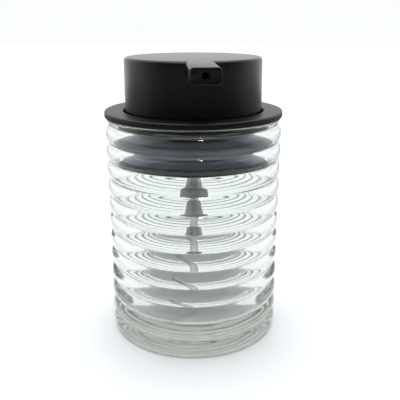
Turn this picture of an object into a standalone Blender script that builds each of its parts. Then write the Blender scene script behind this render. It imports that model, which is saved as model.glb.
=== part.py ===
"""Ribbed glass soap dispenser with a push-down pump head that sinks into its lid.

The jar stands on the floor at the origin, +Z is up and the nozzle points along -Y.
Every turned piece is a profile of (radius, height) points in the piece's own frame,
swept round Z, and each piece hangs on the empty of the rigid body it moves with:

    jar > lid > plunger > head > outlet ball
          lid > inlet ball
"""

import math

import bmesh
import bpy

MM = 0.001
FIT_GAP = 0.3 * MM  # stands for contact between two faces that touch or press together
MERGE = 0.00001

# Jar: pressed glass, a stack of round ribs with sharp grooves between them
JAR_RADIUS = 39.7 * MM
RIB_DEPTH = 1.7 * MM
RIB_PITCH = 8.3 * MM
RIB_COUNT = 11
BASE_BAND = 7.9 * MM
BASE_RADIUS = 38.3 * MM  # where the last rib ends, just above the floor
BASE_CUT = 0.6 * MM
RIM_BAND = 2.35 * MM
RIM_RADIUS = 39.0 * MM
RIM_ROUND = 0.8 * MM
JAR_BORE = 36.0 * MM  # straight where the sleeve grips it, and a little below
JAR_BORE_MARGIN = 2.0 * MM
JAR_BORE_LOW = 34.0 * MM
JAR_FLOOR = 8.5 * MM
INNER_CORNER = 10.0 * MM
JAR_HEIGHT = BASE_BAND + RIB_COUNT * RIB_PITCH + RIM_BAND

# Lid: a flange on the rim and a deep well that the head sinks into, with a pump neck in its floor
LID_Z = JAR_HEIGHT + FIT_GAP  # underside of the flange
FLANGE_RADIUS = 40.0 * MM
FLANGE_THICKNESS = 2.75 * MM
FLANGE_ROUND = 0.9 * MM
WELL_RADIUS = 31.6 * MM
WELL_WALL = 1.9 * MM
WELL_DROP = 19.85 * MM  # from the flange's underside to the bottom of the well
WELL_FLOOR = 2.0 * MM
NECK_RADIUS = 10.0 * MM
NECK_BORE = 6.9 * MM
NECK_HEIGHT = 10.0 * MM
EDGE_CUT = 0.4 * MM  # bevel on the mouth of the well
CORNER_CUT = 1.0 * MM  # bevel where a wall meets a floor

# Silicone sleeve round the well, with lips that grip the jar's bore
SLEEVE_THICKNESS = 1.4 * MM
SLEEVE_DROP = 6.0 * MM  # from the flange's underside to the sleeve's top
SLEEVE_LENGTH = 10.5 * MM
LIP_REACH = 0.5 * MM
LIP_HEIGHT = 1.4 * MM
LIP_COUNT = 3

# Pump stack above the neck: gasket, housing flange, guide flange, collar lip
GASKET_THICKNESS = 1.0 * MM
HOUSING_FLANGE = 1.6 * MM
HOUSING_FLANGE_RADIUS = 9.6 * MM
GUIDE_FLANGE = 1.0 * MM
COLLAR_LIP = 1.5 * MM
COLLAR_WALL = 1.9 * MM
COLLAR_HEIGHT = 15.2 * MM
COLLAR_HOLE = 5.6 * MM
COLLAR_CUT = 0.6 * MM
COLLAR_SIDES = 24

# Stem guide, clamped under the collar's lip, with a pocket for the stem's seal in its tower
GUIDE_FOOT_DROP = 1.6 * MM
GUIDE_TOWER_RADIUS = 5.2 * MM
GUIDE_TOWER_RISE = 1.8 * MM
SEAL_POCKET_RADIUS = 4.2 * MM
SEAL_POCKET_DEPTH = 2.0 * MM
SEAL_THICKNESS = 1.4 * MM

# Pump housing, heights measured down from the seat of its flange
HOUSING_RADIUS = 6.5 * MM
HOUSING_RADIUS_LOW = 6.35 * MM
HOUSING_BORE = 5.2 * MM
SHOULDER_DROP = 26.0 * MM  # where the cylinder starts to round in
SHOULDER_END = 29.4 * MM
LEDGE_DROP = 28.1 * MM
BALL_ROOM_RADIUS = 2.7 * MM
CONE_TOP_DROP = 32.8 * MM
THROAT_RADIUS = 1.2 * MM
THROAT_LENGTH = 1.1 * MM
NOSE_RADIUS = 4.3 * MM
NOSE_RADIUS_LOW = 3.4 * MM
NOSE_END = 48.6 * MM
NOSE_CUT = 0.5 * MM

# Moving pump parts
PRESS_TRAVEL = 12.0 * MM
BALL_RADIUS = 2.0 * MM
OUTLET_BALL_RADIUS = 1.8 * MM
STEM_RADIUS = 2.8 * MM
STEM_BORE = 1.5 * MM
STEM_HEAD_RADIUS = 3.5 * MM
STEM_HEAD_BORE = 2.3 * MM
STEM_HEAD_LENGTH = 6.2 * MM
STEM_HEAD_FLOOR = 0.7 * MM
CARRIER_RADIUS = 3.7 * MM
CARRIER_FLANGE_RADIUS = 4.6 * MM
CARRIER_FLANGE = 1.0 * MM
PISTON_LENGTH = 5.2 * MM
PISTON_LIP_REACH = 0.35 * MM
PISTON_LIP_HEIGHT = 1.2 * MM
SPRING_RADIUS = 4.2 * MM
SPRING_WIRE = 0.35 * MM
SPRING_TURNS = 8
SPRING_STEPS = 11  # points in each turn
CLOSED_PITCH = 0.8 * MM  # rise of the first and the last turn
CAGE_THICKNESS = 1.2 * MM
CAGE_BORE = 1.5 * MM
CAGE_SLOT_LENGTH = 6.4 * MM
CAGE_SLOT_WIDTH = 1.1 * MM
REST_CLEARANCE = 1.0 * MM  # between the guide's foot and the piston when the pump is up

# Dip tube
TUBE_RADIUS = 2.0 * MM
TUBE_WALL = 0.5 * MM
TUBE_LENGTH = 52.0 * MM
TUBE_STRAIGHT = 26.0 * MM
TUBE_BEND_LENGTH = 14.0 * MM
TUBE_LEAN = math.radians(36.0)
TUBE_STEP = 2.0 * MM

# Pump head
HEAD_RADIUS = 30.5 * MM
HEAD_DRAFT = 0.3 * MM
HEAD_RISE = 23.1 * MM  # above the flange, at rest
HEAD_ROUND = 1.5 * MM
HEAD_WALL = 2.0 * MM
HEAD_ROOF = 1.6 * MM
NOZZLE_REACH = 50.5 * MM
NOZZLE_WIDTH = 12.0 * MM
NOZZLE_HEIGHT = 6.4 * MM
NOZZLE_DROP = 0.6 * MM  # how far its tip stands below its root
NOZZLE_ROUND = 1.6 * MM
NOZZLE_FRONT = 1.7 * MM
OUTLET_RADIUS = 1.75 * MM
ARM_WIDTH = 6.6 * MM
ARM_HEIGHT = 3.9 * MM
ARM_BORE = 1.3 * MM
CORE_RADIUS = 5.2 * MM
CORE_HEIGHT = 11.2 * MM
CHAMBER_ROOF = 0.5 * MM  # web between the outlet ball's chamber and the bottom of the arm
CHAMBER_SLOT_WIDTH = 1.4 * MM  # lets soap past the lifted outlet ball into the arm
CHAMBER_SLOT_LENGTH = 5.2 * MM
ARM_ROOT = 3.6 * MM
CUT_MARGIN = 1.0 * MM  # how far a cutter runs past the wall that it opens
SOCKET_RING_WALL = 1.2 * MM
SOCKET_RING_DROP = 8.0 * MM

# Levels in the shared frame, worked out from the stack
FLANGE_TOP_Z = LID_Z + FLANGE_THICKNESS
WELL_FLOOR_Z = LID_Z - WELL_DROP + WELL_FLOOR
NECK_TOP_Z = WELL_FLOOR_Z + NECK_HEIGHT
SEAT_Z = NECK_TOP_Z + 2 * FIT_GAP + GASKET_THICKNESS  # underside of the housing's flange
GUIDE_Z = SEAT_Z + HOUSING_FLANGE + FIT_GAP
COLLAR_LIP_Z = GUIDE_Z + GUIDE_FLANGE + FIT_GAP
LEDGE_Z = SEAT_Z - LEDGE_DROP
CAGE_Z = LEDGE_Z + FIT_GAP
SPRING_Z = CAGE_Z + CAGE_THICKNESS + FIT_GAP
GUIDE_FOOT_Z = SEAT_Z - GUIDE_FOOT_DROP
CARRIER_TOP_Z = GUIDE_FOOT_Z - REST_CLEARANCE
CARRIER_Z = CARRIER_TOP_Z - PISTON_LENGTH
SPRING_LENGTH = CARRIER_Z - FIT_GAP - SPRING_Z
HEAD_TOP_Z = FLANGE_TOP_Z + HEAD_RISE
HEAD_BOTTOM_Z = WELL_FLOOR_Z + PRESS_TRAVEL + REST_CLEARANCE
ROOF_Z = HEAD_TOP_Z - HEAD_ROOF
ARM_Z = HEAD_TOP_Z - NOZZLE_DROP - NOZZLE_HEIGHT / 2  # height of the outlet's axis
ARM_TOP_Z = ARM_Z + ARM_HEIGHT / 2
CHAMBER_TOP_Z = ARM_Z - ARM_HEIGHT / 2 - CHAMBER_ROOF
CORE_Z = ARM_TOP_Z - CORE_HEIGHT
STEM_TOP_Z = CHAMBER_TOP_Z - FIT_GAP
BALL_SEAT_SLACK = FIT_GAP * math.sqrt(2)

BIG_SIDES = 40
SMALL_SIDES = 24
SHARP_ANGLE = math.radians(35.0)

COLOURS = {
    "clear_glass": ((0.92, 0.95, 0.94), 0.03, 0.0),
    "black_plastic": ((0.018, 0.018, 0.020), 0.45, 0.0),
    "grey_silicone": ((0.10, 0.11, 0.12), 0.55, 0.0),
    "clear_plastic": ((0.75, 0.76, 0.76), 0.35, 0.0),
    "white_plastic": ((0.80, 0.80, 0.78), 0.45, 0.0),
    "steel": ((0.60, 0.60, 0.62), 0.25, 1.0),
}


def clear_scene():
    for obj in list(bpy.data.objects):
        bpy.data.objects.remove(obj, do_unlink=True)


def new_collection(name, hidden=False):
    collection = bpy.data.collections.new(name)
    collection.hide_render = hidden
    bpy.context.scene.collection.children.link(collection)
    return collection


def make_materials():
    made = {}
    for name, (colour, roughness, metallic) in COLOURS.items():
        material = bpy.data.materials.new(name)
        material.use_nodes = True
        shader = material.node_tree.nodes["Principled BSDF"]
        shader.inputs["Base Color"].default_value = (*colour, 1.0)
        shader.inputs["Roughness"].default_value = roughness
        shader.inputs["Metallic"].default_value = metallic
        made[name] = material
    return made


def arc(centre, radius, start, end, segments):
    """Points on a circle in the (radius, height) plane, angles in degrees from the outward axis."""
    points = []
    for i in range(segments + 1):
        angle = math.radians(start + (end - start) * i / segments)
        points.append((centre[0] + radius * math.cos(angle), centre[1] + radius * math.sin(angle)))
    return points


def bulge(radius, low, high, depth, segments):
    """A rib's outline from its top groove down to its bottom groove, without the last point."""
    half = (high - low) / 2
    rib_radius = (half * half + depth * depth) / (2 * depth)
    lean = math.degrees(math.asin(half / rib_radius))
    return arc((radius - rib_radius, (low + high) / 2), rib_radius, lean, -lean, segments)[:-1]


class Workshop:
    """Makes objects in one collection, and their cutters in another."""

    def __init__(self):
        clear_scene()
        self.parts = new_collection("soap_dispenser")
        self.cutters = new_collection("cutters", hidden=True)
        self.materials = make_materials()

    def frame(self, name, height, parent=None):
        """An empty on the Z axis at that height in the shared frame: one rigid body."""
        empty = bpy.data.objects.new(name, None)
        self.parts.objects.link(empty)
        empty.parent = parent
        empty.location.z = height - (world_height(parent) if parent else 0.0)
        return empty

    def add(self, name, mesh, frame, height, material, cutter=False):
        """An object with that mesh, its own zero at this height in the shared frame."""
        obj = bpy.data.objects.new(name, mesh)
        (self.cutters if cutter else self.parts).objects.link(obj)
        obj.parent = frame
        obj.location.z = height - world_height(frame)
        if cutter:
            obj.hide_render = True
            obj.display_type = "WIRE"
        else:
            mesh.materials.append(self.materials[material])
        return obj

    def turned(self, name, profile, frame, height, material=None, sides=SMALL_SIDES, closed=True):
        """A profile swept round Z. A closed one is a ring, an open one starts and ends on the axis."""
        mesh = bpy.data.meshes.new(name)
        edges = [(i, i + 1) for i in range(len(profile) - 1)]
        if closed:
            edges.append((len(profile) - 1, 0))
        mesh.from_pydata([(r, 0.0, z) for r, z in profile], edges, [])
        obj = self.add(name, mesh, frame, height, material, cutter=material is None)
        screw = obj.modifiers.new("turn", "SCREW")
        screw.steps = screw.render_steps = sides
        screw.use_merge_vertices = True
        screw.merge_threshold = MERGE
        return obj

    def box(self, name, size, centre, frame, height, material=None, rounding=0.0):
        """A box with rounded long edges, its centre given in the frame of this height."""
        shape = bmesh.new()
        bmesh.ops.create_cube(shape, size=1.0)
        bmesh.ops.scale(shape, vec=size, verts=shape.verts)
        bmesh.ops.translate(shape, vec=centre, verts=shape.verts)
        if rounding:
            long_edges = [e for e in shape.edges if abs(e.verts[0].co.y - e.verts[1].co.y) > size[1] / 2]
            bmesh.ops.bevel(shape, geom=long_edges, offset=rounding, segments=3, profile=0.5, affect="EDGES")
        mesh = bpy.data.meshes.new(name)
        shape.to_mesh(mesh)
        shape.free()
        return self.add(name, mesh, frame, height, material, cutter=material is None)

    def rod(self, name, radius, start_y, end_y, height, frame):
        """A round cutter along Y, its axis at this height."""
        shape = bmesh.new()
        bmesh.ops.create_cone(
            shape, cap_ends=True, segments=16, radius1=radius, radius2=radius, depth=abs(end_y - start_y)
        )
        mesh = bpy.data.meshes.new(name)
        shape.to_mesh(mesh)
        shape.free()
        obj = self.add(name, mesh, frame, height, None, cutter=True)
        obj.rotation_euler.x = math.radians(90.0)
        obj.location.y = (start_y + end_y) / 2
        return obj

    def ball(self, name, radius, frame, height, material):
        shape = bmesh.new()
        bmesh.ops.create_uvsphere(shape, u_segments=14, v_segments=8, radius=radius)
        mesh = bpy.data.meshes.new(name)
        shape.to_mesh(mesh)
        shape.free()
        return self.add(name, mesh, frame, height, material)


def world_height(frame):
    """An empty's height in the shared frame. Every empty here lies on the Z axis, unturned."""
    height = 0.0
    while frame is not None:
        height += frame.location.z
        frame = frame.parent
    return height


def boolean(obj, tool, operation):
    modifier = obj.modifiers.new(f"{operation.lower()}_{tool.name}", "BOOLEAN")
    modifier.operation = operation
    modifier.object = tool


def make_jar(shop, frame):
    top_groove = BASE_BAND + RIB_COUNT * RIB_PITCH
    inner = [(0.0, JAR_FLOOR)]
    inner += arc((JAR_BORE_LOW - INNER_CORNER, JAR_FLOOR + INNER_CORNER), INNER_CORNER, -90, 0, 5)
    inner += [(JAR_BORE, LID_Z - WELL_DROP - JAR_BORE_MARGIN)]
    rim = arc((JAR_BORE + RIM_ROUND, JAR_HEIGHT - RIM_ROUND), RIM_ROUND, 180, 90, 2)
    rim += arc((RIM_RADIUS - RIM_ROUND, JAR_HEIGHT - RIM_ROUND), RIM_ROUND, 90, 0, 2)
    ribs = []
    for i in range(RIB_COUNT):
        high = top_groove - i * RIB_PITCH
        ribs += bulge(JAR_RADIUS, high - RIB_PITCH, high, RIB_DEPTH, 3)
    base = bulge(JAR_RADIUS, BASE_BAND - RIB_PITCH, BASE_BAND, RIB_DEPTH, 4)
    base += [(BASE_RADIUS, BASE_CUT), (BASE_RADIUS - BASE_CUT, 0.0)]
    lip = [(RIM_RADIUS, top_groove + RIM_ROUND)]
    profile = inner + rim + lip + ribs + base + [(0.0, 0.0)]
    shop.turned("glass_jar", profile, frame, 0.0, "clear_glass", BIG_SIDES, closed=False)


def make_lid(shop, frame):
    """Heights are measured from the flange's underside."""
    outer = WELL_RADIUS + WELL_WALL
    floor_top = WELL_FLOOR - WELL_DROP
    profile = [(WELL_RADIUS + EDGE_CUT, FLANGE_THICKNESS)]
    profile += arc((FLANGE_RADIUS - FLANGE_ROUND, FLANGE_THICKNESS - FLANGE_ROUND), FLANGE_ROUND, 90, 0, 2)
    profile += arc((FLANGE_RADIUS - FLANGE_ROUND, FLANGE_ROUND), FLANGE_ROUND, 0, -90, 2)
    profile += [(outer, 0.0), (outer, -WELL_DROP + CORNER_CUT), (outer - CORNER_CUT, -WELL_DROP)]
    profile += [(NECK_BORE, -WELL_DROP), (NECK_BORE, floor_top + NECK_HEIGHT)]
    profile += [(NECK_RADIUS, floor_top + NECK_HEIGHT), (NECK_RADIUS, floor_top)]
    profile += [(WELL_RADIUS - CORNER_CUT, floor_top), (WELL_RADIUS, floor_top + CORNER_CUT)]
    profile += [(WELL_RADIUS, FLANGE_THICKNESS - EDGE_CUT)]
    shop.turned("lid_cup", profile, frame, LID_Z, "black_plastic", BIG_SIDES)


def make_sleeve(shop, frame):
    """A silicone tube round the well, with lips at equal steps down its outside."""
    inner = WELL_RADIUS + WELL_WALL + FIT_GAP
    outer = inner + SLEEVE_THICKNESS
    step = (SLEEVE_LENGTH - LIP_HEIGHT) / LIP_COUNT
    profile = [(inner, 0.0), (outer, 0.0)]
    for i in range(LIP_COUNT):
        top = -step * (i + 0.5)
        profile += [(outer, top), (outer + LIP_REACH, top - LIP_HEIGHT / 3), (outer, top - LIP_HEIGHT)]
    profile += [(outer, -SLEEVE_LENGTH), (inner, -SLEEVE_LENGTH)]
    shop.turned("seal_sleeve", profile, frame, LID_Z - SLEEVE_DROP, "grey_silicone", BIG_SIDES)


def ring(shop, name, inner, outer, low, high, frame, material):
    """A plain washer or tube between two heights of the shared frame."""
    profile = [(inner, high - low), (outer, high - low), (outer, 0.0), (inner, 0.0)]
    return shop.turned(name, profile, frame, low, material)


def make_collar(shop, frame):
    """Screw collar that clamps the pump onto the neck."""
    inner = NECK_RADIUS + FIT_GAP
    outer = inner + COLLAR_WALL
    top = COLLAR_LIP_Z + COLLAR_LIP
    low = top - COLLAR_HEIGHT
    lip = COLLAR_LIP_Z - low
    profile = [(COLLAR_HOLE, COLLAR_HEIGHT), (outer - COLLAR_CUT, COLLAR_HEIGHT)]
    profile += [(outer, COLLAR_HEIGHT - COLLAR_CUT), (outer, 0.0), (inner, 0.0)]
    profile += [(inner, lip), (COLLAR_HOLE, lip)]
    shop.turned("screw_collar", profile, frame, low, "white_plastic", COLLAR_SIDES)


def make_guide(shop, frame):
    """Stem guide: a spigot in the housing, a clamped flange and a tower with the stem seal's pocket."""
    bore = STEM_RADIUS + FIT_GAP
    spigot = HOUSING_BORE - FIT_GAP
    foot = GUIDE_FOOT_Z - GUIDE_Z
    top = GUIDE_FLANGE + COLLAR_LIP + GUIDE_TOWER_RISE
    pocket_floor = top - SEAL_POCKET_DEPTH
    profile = [(SEAL_POCKET_RADIUS, top), (GUIDE_TOWER_RADIUS, top), (GUIDE_TOWER_RADIUS, GUIDE_FLANGE)]
    profile += [(HOUSING_FLANGE_RADIUS, GUIDE_FLANGE), (HOUSING_FLANGE_RADIUS, 0.0)]
    profile += [(spigot, 0.0), (spigot, foot), (bore, foot)]
    profile += [(bore, pocket_floor), (SEAL_POCKET_RADIUS, pocket_floor)]
    shop.turned("stem_guide", profile, frame, GUIDE_Z, "white_plastic")
    seal_z = GUIDE_Z + pocket_floor + FIT_GAP
    seal_top = seal_z + SEAL_THICKNESS
    ring(shop, "stem_seal", bore, SEAL_POCKET_RADIUS - FIT_GAP, seal_z, seal_top, frame, "grey_silicone")


def make_housing(shop, frame):
    """Pump cylinder with a ball seat and a nose for the dip tube, heights from its flange's seat.

    Returns the height of the shoulder that the dip tube is pushed up to.
    """
    throat_top = -CONE_TOP_DROP - (BALL_ROOM_RADIUS - THROAT_RADIUS)
    throat_end = throat_top - THROAT_LENGTH
    tube_bore = TUBE_RADIUS + FIT_GAP
    profile = [(HOUSING_BORE, HOUSING_FLANGE), (HOUSING_FLANGE_RADIUS, HOUSING_FLANGE)]
    profile += [(HOUSING_FLANGE_RADIUS, 0.0), (HOUSING_RADIUS, 0.0)]
    stretch = (SHOULDER_END - SHOULDER_DROP) / (HOUSING_RADIUS_LOW - NOSE_RADIUS)
    for r, z in arc((NOSE_RADIUS, 0.0), HOUSING_RADIUS_LOW - NOSE_RADIUS, 0, -90, 4):
        profile.append((r, z * stretch - SHOULDER_DROP))
    profile += [(NOSE_RADIUS_LOW, NOSE_CUT - NOSE_END), (NOSE_RADIUS_LOW - NOSE_CUT, -NOSE_END)]
    profile += [(tube_bore, -NOSE_END), (tube_bore, throat_end), (THROAT_RADIUS, throat_end)]
    profile += [(THROAT_RADIUS, throat_top), (BALL_ROOM_RADIUS, -CONE_TOP_DROP)]
    profile += [(BALL_ROOM_RADIUS, -LEDGE_DROP), (HOUSING_BORE, -LEDGE_DROP)]
    shop.turned("pump_housing", profile, frame, SEAT_Z, "clear_plastic")
    return SEAT_Z + throat_end


def make_ball_cage(shop, frame):
    """Disc under the spring that keeps the inlet ball in its room, slotted so soap still passes."""
    top = CAGE_Z + CAGE_THICKNESS
    cage = ring(shop, "ball_cage", CAGE_BORE, HOUSING_BORE - FIT_GAP, CAGE_Z, top, frame, "white_plastic")
    slot_size = (CAGE_SLOT_LENGTH, CAGE_SLOT_WIDTH, 4 * CAGE_THICKNESS)
    for i in range(2):
        slot = shop.box(f"cage_slot_{i}", slot_size, (0, 0, 0), frame, CAGE_Z)
        slot.rotation_euler.z = math.radians(45.0 + 90.0 * i)
        boolean(cage, slot, "DIFFERENCE")


def make_spring(shop, frame):
    """Compression spring with closed ends, its lowest point at zero."""
    per_turn = SPRING_STEPS
    count = per_turn * SPRING_TURNS + 1
    low = SPRING_WIRE
    high = SPRING_LENGTH - SPRING_WIRE
    curve = bpy.data.curves.new("main_spring", "CURVE")
    curve.dimensions = "3D"
    curve.bevel_depth = SPRING_WIRE
    curve.bevel_resolution = 2
    curve.use_fill_caps = True
    spline = curve.splines.new("POLY")
    spline.points.add(count - 1)
    end_pitch = CLOSED_PITCH
    for i in range(count):
        turn = i / per_turn
        from_end = min(turn, SPRING_TURNS - turn)
        rise = end_pitch * min(from_end, 1.0)
        if from_end > 1.0:
            rise += (from_end - 1.0) * ((high - low) / 2 - end_pitch) / (SPRING_TURNS / 2 - 1)
        height = low + rise if turn < SPRING_TURNS / 2 else high - rise
        angle = 2 * math.pi * turn
        spline.points[i].co = (SPRING_RADIUS * math.cos(angle), SPRING_RADIUS * math.sin(angle), height, 1.0)
    shop.add("main_spring", curve, frame, SPRING_Z, "steel")


def tube_route():
    """Centre points of the dip tube, from its top down: straight, one even bend, then a lean."""
    points = [(0.0, 0.0)]
    for i in range(round(TUBE_LENGTH / TUBE_STEP)):
        along = (i + 0.5) * TUBE_STEP
        share = min(max((along - TUBE_STRAIGHT) / TUBE_BEND_LENGTH, 0.0), 1.0)
        lean = TUBE_LEAN * share
        x, z = points[-1]
        points.append((x - TUBE_STEP * math.sin(lean), z - TUBE_STEP * math.cos(lean)))
    return points


def make_dip_tube(shop, frame, top):
    curve = bpy.data.curves.new("dip_tube_line", "CURVE")
    curve.dimensions = "3D"
    curve.bevel_depth = TUBE_RADIUS
    curve.bevel_resolution = 3
    route = tube_route()
    spline = curve.splines.new("POLY")
    spline.points.add(len(route) - 1)
    for point, (x, z) in zip(spline.points, route):
        point.co = (x, 0.0, z, 1.0)
    line = bpy.data.objects.new("dip_tube_line", curve)
    shop.cutters.objects.link(line)
    bpy.context.view_layer.update()
    mesh = bpy.data.meshes.new_from_object(line.evaluated_get(bpy.context.evaluated_depsgraph_get()))
    bpy.data.objects.remove(line)
    tube = shop.add("dip_tube", mesh, frame, top, "clear_plastic")
    wall = tube.modifiers.new("wall", "SOLIDIFY")
    wall.thickness = TUBE_WALL
    wall.offset = -1.0


def make_plunger(shop, frame):
    """Piston carrier and its lip seal, which slide in the housing."""
    carrier_bore = STEM_RADIUS + FIT_GAP
    profile = [(carrier_bore, PISTON_LENGTH), (CARRIER_RADIUS, PISTON_LENGTH)]
    profile += [(CARRIER_RADIUS, CARRIER_FLANGE), (CARRIER_FLANGE_RADIUS, CARRIER_FLANGE)]
    profile += [(CARRIER_FLANGE_RADIUS, 0.0), (STEM_BORE, 0.0), (STEM_BORE, CARRIER_FLANGE)]
    profile += [(carrier_bore, CARRIER_FLANGE)]
    shop.turned("piston_carrier", profile, frame, CARRIER_Z, "white_plastic")
    inner = CARRIER_RADIUS + FIT_GAP
    outer = HOUSING_BORE - FIT_GAP
    waist = outer - PISTON_LIP_REACH
    edge, foot = PISTON_LIP_HEIGHT / 3, PISTON_LIP_HEIGHT
    length = PISTON_LENGTH - CARRIER_FLANGE - 2 * FIT_GAP
    profile = [(inner, length), (waist, length), (outer, length - edge), (waist, length - foot)]
    profile += [(waist, foot), (outer, edge), (waist, 0.0), (inner, 0.0)]
    shop.turned("piston_seal", profile, frame, CARRIER_Z + CARRIER_FLANGE + FIT_GAP, "clear_plastic")


def make_stem(shop, frame):
    """Hollow stem from the piston to the head, with the outlet ball's seat in its top.

    Returns the height of the ball's centre.
    """
    low = CARRIER_Z + CARRIER_FLANGE + FIT_GAP
    top = STEM_TOP_Z - low
    shelf = top - STEM_HEAD_LENGTH
    cone = shelf + STEM_HEAD_FLOOR
    profile = [(STEM_HEAD_BORE, top), (STEM_HEAD_RADIUS, top), (STEM_HEAD_RADIUS, shelf)]
    profile += [(STEM_RADIUS, shelf), (STEM_RADIUS, 0.0), (STEM_BORE, 0.0), (STEM_BORE, cone)]
    profile += [(STEM_HEAD_BORE, cone + STEM_HEAD_BORE - STEM_BORE)]
    shop.turned("stem", profile, frame, low, "white_plastic")
    apex = low + cone - STEM_BORE
    return apex + OUTLET_BALL_RADIUS * math.sqrt(2) + BALL_SEAT_SLACK


def make_core(shop, frame):
    """Spout core: a socket on the stem and an arm that carries the soap to the nozzle."""
    socket = STEM_HEAD_RADIUS + FIT_GAP
    height = ARM_TOP_Z - CORE_Z
    chamber = CHAMBER_TOP_Z - CORE_Z
    profile = [(0.0, height), (CORE_RADIUS, height), (CORE_RADIUS, 0.0), (socket, 0.0), (socket, chamber)]
    profile += [(0.0, chamber)]
    core = shop.turned("spout_core", profile, frame, CORE_Z, "black_plastic", closed=False)
    arm_start = ARM_ROOT
    arm_end = NOZZLE_REACH - NOZZLE_FRONT - FIT_GAP
    arm_size = (ARM_WIDTH, arm_end - arm_start, ARM_HEIGHT)
    arm = shop.box("core_arm", arm_size, (0.0, -(arm_start + arm_end) / 2, 0.0), frame, ARM_Z)
    boolean(core, arm, "UNION")
    bore = shop.rod("arm_bore", ARM_BORE, CUT_MARGIN, -arm_end - CUT_MARGIN, ARM_Z, frame)
    boolean(core, bore, "DIFFERENCE")
    slot_size = (CHAMBER_SLOT_WIDTH, CHAMBER_SLOT_LENGTH, 2 * (ARM_Z - CHAMBER_TOP_Z))
    slot = shop.box("chamber_slot", slot_size, (0.0, 0.0, 0.0), frame, CHAMBER_TOP_Z)
    boolean(core, slot, "DIFFERENCE")


def make_head(shop, frame):
    """Head shell: a round cap with a nozzle, a ring that holds the core, and a duct for the arm."""
    height = HEAD_TOP_Z - HEAD_BOTTOM_Z
    low_radius = HEAD_RADIUS + HEAD_DRAFT
    roof = height - HEAD_ROOF
    profile = [(0.0, height)]
    profile += arc((HEAD_RADIUS - HEAD_ROUND, height - HEAD_ROUND), HEAD_ROUND, 90, 0, 3)
    inner = HEAD_RADIUS - HEAD_WALL
    profile += [(low_radius, 0.0), (low_radius - HEAD_WALL, 0.0), (inner, roof - CORNER_CUT)]
    profile += [(inner - CORNER_CUT, roof), (0.0, roof)]
    shell = shop.turned("head_shell", profile, frame, HEAD_BOTTOM_Z, "black_plastic", BIG_SIDES, closed=False)

    ring_inner = CORE_RADIUS + FIT_GAP
    ring_outer = ring_inner + SOCKET_RING_WALL
    ring_low = ROOF_Z + HEAD_ROOF / 2 - SOCKET_RING_DROP
    ring_top = ring_low + SOCKET_RING_DROP
    boolean(shell, ring(shop, "core_ring", ring_inner, ring_outer, ring_low, ring_top, frame, None), "UNION")

    root = HEAD_RADIUS - HEAD_WALL / 2
    length = NOZZLE_REACH - root
    nozzle_size = (NOZZLE_WIDTH, length, NOZZLE_HEIGHT)
    nozzle_centre = (0.0, -(root + NOZZLE_REACH) / 2, 0.0)
    nozzle_z = HEAD_TOP_Z - NOZZLE_HEIGHT / 2
    nozzle = shop.box("nozzle", nozzle_size, nozzle_centre, frame, nozzle_z, rounding=NOZZLE_ROUND)
    for vertex in nozzle.data.vertices:
        vertex.co.z -= NOZZLE_DROP * (-vertex.co.y - root) / length
    boolean(shell, nozzle, "UNION")

    duct_end = NOZZLE_REACH - NOZZLE_FRONT
    duct_size = (ARM_WIDTH + 2 * FIT_GAP, duct_end, ARM_HEIGHT + 2 * FIT_GAP)
    boolean(shell, shop.box("arm_duct", duct_size, (0.0, -duct_end / 2, 0.0), frame, ARM_Z), "DIFFERENCE")
    tip = -NOZZLE_REACH - CUT_MARGIN
    outlet = shop.rod("outlet", OUTLET_RADIUS, CUT_MARGIN - duct_end, tip, ARM_Z, frame)
    boolean(shell, outlet, "DIFFERENCE")


def smooth_round_pieces(objects):
    for obj in objects:
        if obj.type == "MESH":
            obj.data.shade_smooth()
            obj.data.set_sharp_from_angle(angle=SHARP_ANGLE)


def main():
    shop = Workshop()
    jar = shop.frame("jar_body", 0.0)
    lid = shop.frame("lid_body", LID_Z, jar)
    plunger = shop.frame("plunger_body", CARRIER_Z, lid)
    head = shop.frame("head_body", CORE_Z, plunger)

    make_jar(shop, jar)
    make_lid(shop, lid)
    make_sleeve(shop, lid)
    gasket_z = NECK_TOP_Z + FIT_GAP
    gasket_top = gasket_z + GASKET_THICKNESS
    ring(shop, "neck_gasket", NECK_BORE, NECK_RADIUS, gasket_z, gasket_top, lid, "grey_silicone")
    throat_z = make_housing(shop, lid)
    make_collar(shop, lid)
    make_guide(shop, lid)
    make_ball_cage(shop, lid)
    make_spring(shop, lid)
    make_dip_tube(shop, lid, throat_z - FIT_GAP)
    cone_apex = SEAT_Z - CONE_TOP_DROP - BALL_ROOM_RADIUS
    inlet_ball_z = cone_apex + BALL_RADIUS * math.sqrt(2) + BALL_SEAT_SLACK
    shop.ball("inlet_ball", BALL_RADIUS, lid, inlet_ball_z, "steel")
    make_plunger(shop, plunger)
    outlet_ball_z = make_stem(shop, head)
    shop.ball("outlet_ball", OUTLET_BALL_RADIUS, head, outlet_ball_z, "steel")
    make_core(shop, head)
    make_head(shop, head)
    smooth_round_pieces(shop.parts.objects)


main()
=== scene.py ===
"""Finished look of a ribbed glass soap dispenser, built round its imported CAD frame.

The frame gives every place: the jar stands on the floor at the origin, +Z is up and the
spout points along -Y. Each sub-assembly is a class that builds its pieces, dresses them
with a finish and hangs them on the rigid body that they move with.
"""

import logging
import math
from dataclasses import dataclass, replace
from enum import Enum
from typing import Any

import bmesh
import bpy
from mathutils import Matrix, Quaternion, Vector


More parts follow.
